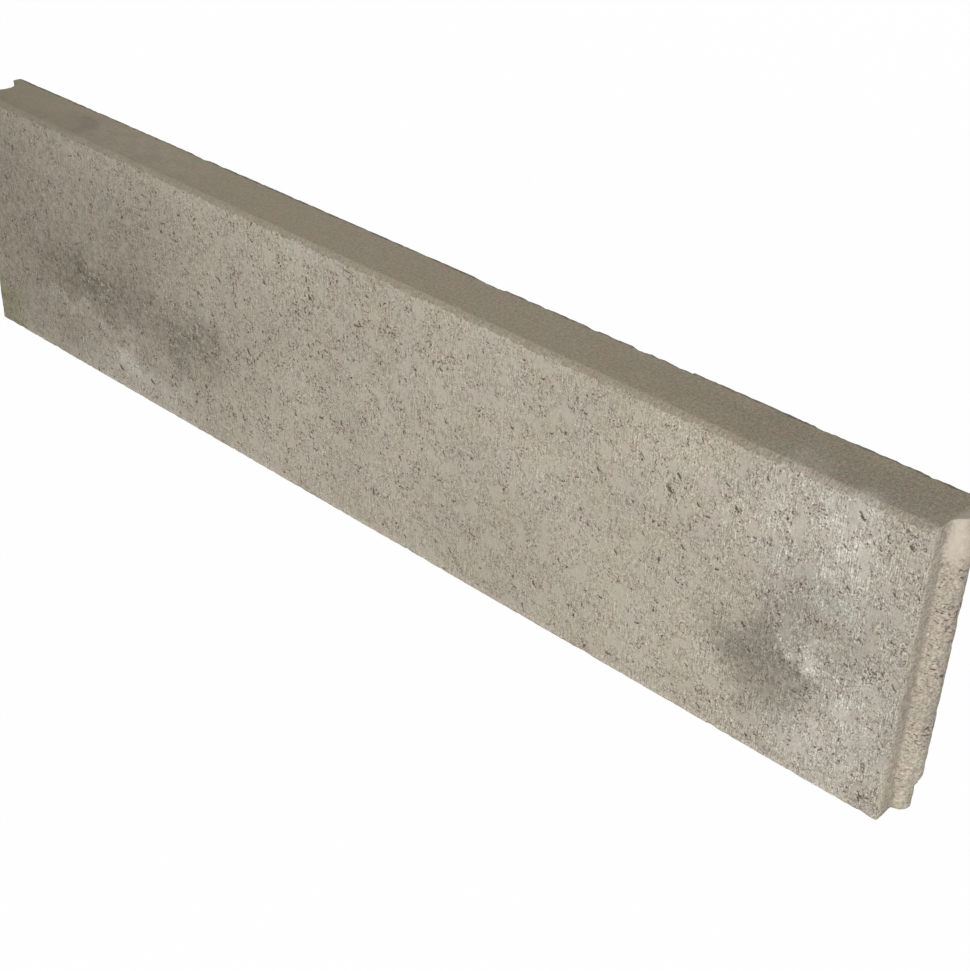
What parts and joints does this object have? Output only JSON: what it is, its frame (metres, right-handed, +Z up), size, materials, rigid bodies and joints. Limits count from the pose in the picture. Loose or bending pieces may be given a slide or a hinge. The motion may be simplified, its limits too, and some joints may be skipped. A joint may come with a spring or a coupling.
{
  "type": "kerb stone",
  "caption": "Straight concrete kerb stone that edges paving or lawn, with bevelled top edges, a half-round tongue on one end and a matching groove in the other.",
  "frame": {"origin": "middle of the bed face, halfway between the two end faces", "axes": "+X along the stone to the tongue end, +Y from the front face to the back face, +Z up"},
  "size_m": [1.012, 0.055, 0.23],
  "materials": {
    "concrete": "matt pressed concrete, warm grey, with open pores, drag marks and pale lime bloom"
  },
  "bodies": {
    "root": {"kerb_stone": "concrete"}
  },
  "joints": []
}
